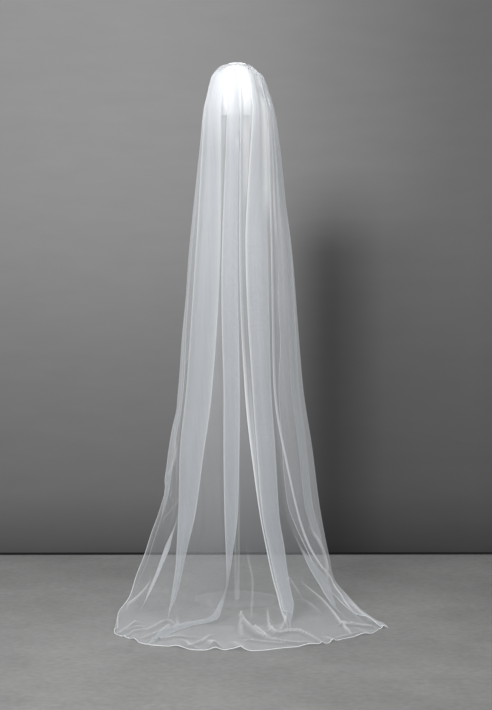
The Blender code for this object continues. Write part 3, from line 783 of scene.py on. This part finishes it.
def tulle_material(name, opacity):
    """Sheer net: denser where it is seen aslant, with fine threads along the cloth."""
    shader = Shader(name, Roughness=0.85, Sheen_Weight=0.25, Sheen_Roughness=0.5,
                    Specular_IOR_Level=0.2)
    cloth = shader.coordinates("UV")
    u, v = shader.part(cloth, "X"), shader.part(cloth, "Y")
    turn = math.pi / NET_PITCH
    first = ((u + v) * turn).math("SINE").math("ABSOLUTE")
    second = ((u - v) * turn).math("SINE").math("ABSOLUTE")
    threads = first.math("MINIMUM", second).between(THREAD_COVER, HOLE_COVER)
    patch = shader.noise(9.0, 2.0, cloth).between(*PATCHES)
    drawn = shader.node("ShaderNodeMapping", {}, {"Vector": cloth, "Scale": STREAKS})
    streaks = shader.noise(1.0, 3.0, drawn).between(*STREAK_COVER)
    aslant = shader.node("ShaderNodeLayerWeight", {}, {"Blend": 0.5}, output="Facing")
    cosine = (1.0 - aslant).math("MAXIMUM", GRAZING)
    cover = threads * patch * streaks * opacity
    close = shader.node("ShaderNodeAttribute", {"attribute_name": "closeness"}, output="Fac")
    layers = close * ((1.0 - SLANT_SHARE) + SLANT_SHARE / cosine)
    shader.feed("Alpha", 1.0 - (1.0 - cover) ** layers)
    # Painted light and shade from a per-point attribute: shade in folds, highlights on edges and
    # creases, plus random tone
    painted_light_share = shader.node("ShaderNodeAttribute", {"attribute_name": "painted_light"}, output="Fac")
    tone = painted_light_share + shader.noise(3.0, 2.0).between(*TONE_UNEVEN)
    shader.colour(tone, *TULLE_SHADE_AND_HIGHLIGHT)
    return shader.material


def thread_material():
    shader = Shader("edge_thread", Roughness=0.6, Sheen_Weight=0.3)
    twist = shader.noise(900.0, 1.0)
    shader.colour(twist, *THREAD_COLOURS)
    shader.bump(twist, 0.0002)
    return shader.material


def form_material():
    shader = Shader("white_foam")
    grain = shader.noise(260.0)
    shader.colour(shader.noise(14.0, 2.0), *FORM_COLOURS)
    shader.feed("Roughness", grain.between(0.55, 0.70))
    shader.bump(grain, 0.0003, 0.5)
    return shader.material


def acrylic_material(name, rim_shows):
    shader = Shader(name, IOR=1.49)
    smear = shader.noise(22.0)
    shader.feed("Roughness", smear.between(0.03, 0.11))
    rim = shader.node("ShaderNodeLayerWeight", {}, {"Blend": 0.35}, output="Facing")
    shader.feed("Alpha", CLEAR_BODY + rim * rim_shows)
    shader.colour(smear, *ACRYLIC_COLOURS)
    return shader.material


def comb_material():
    shader = Shader("pearl_comb", Coat_Weight=0.3)
    cloud = shader.noise(70.0)
    shader.colour(cloud, *COMB_COLOURS)
    shader.feed("Roughness", cloud.between(0.25, 0.40))
    return shader.material


def floor_material():
    shader = Shader("pale_floor", Roughness=0.75)
    broad = shader.noise(2.6, 6.0)
    fine = shader.noise(48.0, 8.0)
    streaks = shader.noise(9.0, 8.0)
    grain = shader.noise(340.0, 2.0)
    # A painted pool of light: a round paler patch, brightest on the camera's side of the veil
    moved = shader.node("ShaderNodeMapping", {}, {
        "Vector": shader.coordinates(), "Location": LIT_POOL_PLACE, "Scale": LIT_POOL_SCALE})
    lit_pool = shader.node("ShaderNodeTexGradient", {"gradient_type": "SPHERICAL"},
                       {"Vector": moved}, output="Fac")
    mottle = (broad * FLOOR_BROAD + streaks * FLOOR_STREAKS + fine * FLOOR_FINE
              + lit_pool * FLOOR_LIT_POOL + grain * FLOOR_GRAIN - FLOOR_DARKER)
    shader.colour(mottle, *FLOOR_COLOURS)
    shader.bump(fine, 0.0006, 0.4)
    return shader.material


def finish_piece(name, shape, material, replaced=(), smooth=True):
    """Makes an object of a bmesh, at the origin, riding on the one body."""
    for face in shape.faces:
        face.smooth = smooth
    mesh = bpy.data.meshes.new(name)
    shape.to_mesh(mesh)
    shape.free()
    mesh.materials.append(material)
    piece = bpy.data.objects.new(name, mesh)
    bpy.context.scene.collection.objects.link(piece)
    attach(piece, "root")
    if replaced:
        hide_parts(*replaced)
    return piece


def make_tube(name, route, diameter, material, sides=2, thick=None):
    """A cord along a route. Thick gives the share of its diameter at each point."""
    curve = bpy.data.curves.new(name, "CURVE")
    curve.dimensions = "3D"
    curve.bevel_depth = diameter / 2
    curve.bevel_resolution = sides
    curve.use_fill_caps = True
    spline = curve.splines.new("POLY")
    spline.points.add(len(route) - 1)
    for point, place, radius in zip(spline.points, route, thick or [1.0] * len(route)):
        point.co = (*place, 1)
        point.radius = radius
    curve.materials.append(material)
    piece = bpy.data.objects.new(name, curve)
    bpy.context.scene.collection.objects.link(piece)
    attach(piece, "root")
    return piece


def make_sheet(material, thread):
    """The veil's one cut of tulle, and the fine cord rolled into its edge."""
    points, u, v, close, painted_light_share = whole_sheet()
    long, wide = points.shape[:2]
    shape = bmesh.new()
    bmesh.ops.create_grid(shape, x_segments=wide - 1, y_segments=long - 1, size=1,
                          calc_uvs=True)
    cloth = shape.loops.layers.uv.verify()
    shape.verts.ensure_lookup_table()
    dense = shape.verts.layers.float.new("closeness")
    # Per-point share of painted light and shade
    painted_light = shape.verts.layers.float.new("painted_light")
    spots = {}
    for vertex in shape.verts:
        column = round((vertex.co.x + 1) / 2 * (wide - 1))
        row = round((1 - vertex.co.y) / 2 * (long - 1))
        spots[vertex.index] = (row, column)
    for vertex in shape.verts:
        vertex[dense] = close[spots[vertex.index]]
        vertex[painted_light] = painted_light_share[spots[vertex.index]]
        vertex.co = points[spots[vertex.index]]
    for face in shape.faces:
        for corner in face.loops:
            row, column = spots[corner.vert.index]
            corner[cloth].uv = (u[row, column], v[row])
    veil = finish_piece("tulle_veil", shape, material, (
        "veil_crown", "veil_fall_left", "veil_fall_middle", "veil_fall_right",
        "veil_return_right", "veil_train_left", "veil_train_middle", "veil_train_right"))
    left = points[CORD_BEGINS::CORD_STEP, 0]
    right = points[::-1, -1][:-CORD_BEGINS:CORD_STEP]
    route = np.concatenate([left, points[-1, 1:-1], right])
    route[:, 2] = np.maximum(route[:, 2], EDGE_CORD / 2)
    thick = 1 - (1 - CORD_FINE) * rise(*CORD_FINER, route[:, 2])
    edge = make_tube("corded_edge", route, EDGE_CORD, thread, thick=list(thick))
    return veil, edge


def on_head(x, y, above):
    """A point over the head form's upper half, a little above its surface."""
    across, along = x / (HEAD_WIDTH / 2), y / (HEAD_DEPTH / 2)
    up = math.sqrt(max(0.0, 1 - across ** 2 - along ** 2))
    return Vector(((HEAD_WIDTH / 2 + above) * across, (HEAD_DEPTH / 2 + above) * along,
                   HEAD_MIDDLE + (HEAD_UP + above) * up))


def make_head_form(material):
    shape = bmesh.new()
    bmesh.ops.create_uvsphere(shape, u_segments=72, v_segments=48, radius=1)
    for vertex in shape.verts:
        x, y, z = vertex.co
        vertex.co = (x * HEAD_WIDTH / 2, y * HEAD_DEPTH / 2,
                     HEAD_MIDDLE + z * (HEAD_UP if z > 0 else HEAD_DOWN))
    cut = bmesh.ops.bisect_plane(
        shape, geom=shape.verts[:] + shape.edges[:] + shape.faces[:],
        plane_co=(0, 0, HEAD_CUT), plane_no=(0, 0, -1), clear_outer=True)
    rim = [item for item in cut["geom_cut"] if isinstance(item, bmesh.types.BMEdge)]
    floor = bmesh.ops.contextual_create(shape, geom=rim)["faces"]
    bmesh.ops.inset_region(shape, faces=floor, thickness=HEAD_RIM, depth=0.0)
    bmesh.ops.recalc_face_normals(shape, faces=shape.faces[:])
    for edge in rim:
        edge.smooth = False
    return finish_piece("head_form_shell", shape, material, ("head_form",))


def make_round(name, diameter, low, high, bevel, material, node):
    shape = bmesh.new()
    bmesh.ops.create_cone(shape, cap_ends=True, segments=96, radius1=diameter / 2,
                          radius2=diameter / 2, depth=high - low,
                          matrix=Matrix.Translation((0, 0, (low + high) / 2)))
    rims = [edge for edge in shape.edges
            if abs(edge.verts[0].co.z - edge.verts[1].co.z) < 1e-6]
    bmesh.ops.bevel(shape, geom=rims, offset=bevel, segments=3, profile=0.5, material=-1,
                    affect="EDGES")
    return finish_piece(name, shape, material, (node,))


def make_comb(material):
    """The curved comb under the cloth: a grid with the gaps between its teeth cut out."""
    wide = 4 * COMB_TEETH - 2
    long = COMB_TOOTH_ROWS + COMB_BAR_ROWS
    shape = bmesh.new()
    bmesh.ops.create_grid(shape, x_segments=wide, y_segments=long, size=1)
    slots = []
    for face in shape.faces:
        middle = face.calc_center_median()
        column = int((middle.x + 1) / 2 * wide)
        row = int((middle.y + 1) / 2 * long)
        if row < COMB_TOOTH_ROWS and (column // 2) % 2 == 1:
            slots.append(face)
    bmesh.ops.delete(shape, geom=slots, context="FACES")
    for vertex in shape.verts:
        row = (vertex.co.y + 1) / 2 * long
        on_bar = max(0.0, row - COMB_TOOTH_ROWS) / COMB_BAR_ROWS
        on_tooth = min(row, COMB_TOOTH_ROWS) / COMB_TOOTH_ROWS
        y = COMB_BACK - COMB_BAR * (1 - on_bar) - COMB_TOOTH * (1 - on_tooth)
        vertex.co = on_head(vertex.co.x * COMB_WIDTH / 2, y, COMB_ABOVE)
    comb = finish_piece("hair_comb", shape, material, ("comb",))
    wall = comb.modifiers.new("thickness", "SOLIDIFY")
    wall.thickness = COMB_THICKNESS
    wall.offset = 0
    rounding = comb.modifiers.new("edges", "BEVEL")
    rounding.width = COMB_ROUNDING
    rounding.segments = 2
    rounding.limit_method = "ANGLE"


def make_stitches(thread):
    """The overcast stitches that bind the veil to the comb's bar."""
    route = []
    for i in range(STITCHES * STITCH_STEPS + 1):
        x = (i / (STITCHES * STITCH_STEPS) - 0.5) * HEADING_WIDTH
        turn = 2 * math.pi * i / STITCH_STEPS
        around = Vector((0, STITCH_RADIUS * math.cos(turn), STITCH_RADIUS * math.sin(turn)))
        route.append(on_head(x, STITCH_BACK, COMB_ABOVE) + around)
    make_tube("gather_stitches", route, STITCH_THREAD, thread, sides=1)


def make_heading(material):
    """The short ruffle of tulle that stands up above the gathering stitch."""
    shape = bmesh.new()
    bmesh.ops.create_grid(shape, x_segments=HEADING_WAVES * HEADING_STEPS,
                          y_segments=HEADING_ROWS, size=1, calc_uvs=True)
    cloth = shape.loops.layers.uv.verify()
    dense = shape.verts.layers.float.new("closeness")
    # Painted light: the heading takes the open cloth's level of painted light
    painted_light = shape.verts.layers.float.new("painted_light")
    for vertex in shape.verts:
        vertex[dense] = HEADING_PLEATS
        vertex[painted_light] = CLOTH_PAINTED_LIGHT
    for face in shape.faces:
        for corner in face.loops:
            corner[cloth].uv = (corner.vert.co.x * HEADING_CLOTH / 2,
                                corner.vert.co.y * HEADING_HEIGHT / 2)
    foot = STATIONS[0].height + THREAD_ROOM + TOUCH
    for vertex in shape.verts:
        share = vertex.co.x
        up = (vertex.co.y + 1) / 2
        turn = math.pi * HEADING_WAVES * (share + 1) + wander(share, HEADING_WANDER)
        wave = math.sin(turn) * (HEADING_LEAST + wander(share, HEADING_SWELL))
        wave *= HEADING_FOOT + (1 - HEADING_FOOT) * up
        height = HEADING_HEIGHT * (1 - HEADING_ENDS * share ** 2)
        height *= 1 - HEADING_RAGGED + HEADING_RAGGED * math.cos(turn / 2)
        vertex.co = (share * HEADING_WIDTH / 2 + HEADING_LEAN * up * math.sin(turn / 2),
                     HEADING_FORWARD + HEADING_DEPTH * wave,
                     foot - HEADING_DROP * share ** 2 + height * up)
    return finish_piece("heading_ruffle", shape, material, ("heading",))


def make_camera():
    data = bpy.data.cameras.new("camera")
    data.sensor_width = SENSOR
    data.lens = FOCAL_PIXELS * SENSOR / PICTURE_HEIGHT
    data.clip_end = CAMERA_SEES
    camera = bpy.data.objects.new("camera", data)
    camera.location = CAMERA_PLACE
    camera.rotation_euler = (math.radians(90 - CAMERA_DOWN), 0, math.radians(-CAMERA_ASIDE))
    bpy.context.scene.collection.objects.link(camera)
    bpy.context.scene.camera = camera


def hang_light(data, place, aim, watts):
    data.energy = watts
    light = bpy.data.objects.new(data.name, data)
    light.location = place
    direction = Vector(aim) - Vector(place)
    light.rotation_euler = direction.to_track_quat("-Z", "Y").to_euler()
    bpy.context.scene.collection.objects.link(light)


def make_lights():
    for name, place, aim, width, watts in LIGHTS:
        data = bpy.data.lights.new(name, "AREA")
        data.shape = "DISK"
        data.size = width
        hang_light(data, place, aim, watts)
    spot = bpy.data.lights.new("head", "SPOT")
    spot.spot_size = math.radians(SPOT_DEGREES)
    spot.spot_blend = SPOT_BLEND
    spot.shadow_soft_size = SPOT_SOFTNESS
    hang_light(spot, SPOT_PLACE, SPOT_AIM, SPOT_WATTS)


def grey_ramp(nodes, where, stops):
    """Greys that run smoothly through rows of a place and the grey there."""
    start, end = stops[0][0], stops[-1][0]
    share = nodes.node("ShaderNodeMapRange", {}, {
        "Value": where, "From Min": start, "From Max": end})
    greys = nodes.node("ShaderNodeValToRGB", {}, {"Fac": share})
    ramp = greys.socket.node.color_ramp
    ramp.interpolation = "B_SPLINE"
    while len(ramp.elements) < len(stops):
        ramp.elements.new(0.5)
    for element, (place, grey) in zip(ramp.elements, stops):
        element.position = (place - start) / (end - start)
        element.color = (grey, grey, grey, 1)
    return greys


def make_world():
    """A grey surround that no lamp lights, painted with light and shade like a paper
    sweep: paler to the left and above, with a painted shadow low down right of the veil.
    """
    world = bpy.data.worlds.new("studio")
    world.use_nodes = True
    bpy.context.scene.world = world
    nodes = Nodes(world.node_tree)
    direction = nodes.coordinates("Generated")
    x, z = nodes.part(direction, "X"), nodes.part(direction, "Z")
    # Painted light: paler to the left and above
    aside = nodes.mix(grey_ramp(nodes, z, WALL_TURNS), grey_ramp(nodes, x, WALL_BELOW),
                      grey_ramp(nodes, x, WALL_ABOVE))
    # Painted shadow of the veil on the wall, to its right and low down
    shade = nodes.mix(1.0, grey_ramp(nodes, x, SHADE_ACROSS), grey_ramp(nodes, z, SHADE_UP),
                      "MULTIPLY")
    wall = nodes.mix(1.0, aside, grey_ramp(nodes, z, WALL_UP), "MULTIPLY")
    wall = nodes.mix(shade, wall, BLACK)
    stretched = nodes.node("ShaderNodeVectorMath", {"operation": "MULTIPLY"},
                           {0: direction, 1: WALL_RIPPLE})
    low, high = WALL_UNEVEN
    ripple = nodes.node("ShaderNodeMapRange", {}, {
        "Value": nodes.noise(5.0, 4.0, stretched), "To Min": low, "To Max": high})
    wall = nodes.mix(1.0, wall, ripple, "MULTIPLY")
    seen = nodes.node("ShaderNodeLightPath", output="Is Camera Ray")
    both = nodes.mix(seen, (STUDIO_LIGHT, STUDIO_LIGHT, STUDIO_LIGHT, 1), wall)
    nodes.tree.links.new(both.socket, nodes.tree.nodes["Background"].inputs["Color"])


def stage_piece(name, front, back, material):
    """A flat rectangle of the stage between two edges, each given by its Y and Z."""
    shape = bmesh.new()
    bmesh.ops.create_grid(shape, x_segments=1, y_segments=1, size=1)
    for vertex in shape.verts:
        edge = back if vertex.co.y > 0 else front
        vertex.co = (vertex.co.x * FLOOR_REACH, *edge)
    mesh = bpy.data.meshes.new(name)
    shape.to_mesh(mesh)
    shape.free()
    mesh.materials.append(material)
    piece = bpy.data.objects.new(name, mesh)
    bpy.context.scene.collection.objects.link(piece)
    return piece


def make_stage():
    floor = stage_piece("floor", (-FLOOR_REACH, 0), (FLOOR_BACK_EDGE, 0), floor_material())
    shadow = Shader("shadow", Base_Color=SHADOW_COLOUR, Roughness=1.0).material
    gap = stage_piece("shadow_gap", (FLOOR_BACK_EDGE, 0), (FLOOR_BACK_EDGE, SHADOW_GAP), shadow)


def main():
    scene = bpy.context.scene
    scene.view_settings.view_transform = "Standard"
    scene.cycles.transparent_max_bounces = SEE_THROUGH_BOUNCES
    make_camera()
    make_world()
    make_stage()
    make_lights()

    thread = thread_material()
    veil, edge = make_sheet(tulle_material("tulle", TULLE_OPACITY), thread)
    heading = make_heading(tulle_material("gathered_tulle", HEADING_OPACITY))
    make_head_form(form_material())
    make_comb(comb_material())
    make_stitches(thread)
    make_round("clear_base", BASE_DIAMETER, 0, BASE_THICKNESS, BASE_BEVEL,
               acrylic_material("clear_acrylic_base", BASE_RIM), "stand_base")
    make_round("clear_post", POST_DIAMETER, BASE_THICKNESS + TOUCH, HEAD_CUT - TOUCH, POST_BEVEL,
               acrylic_material("clear_acrylic_post", POST_RIM), "stand_post")


main()
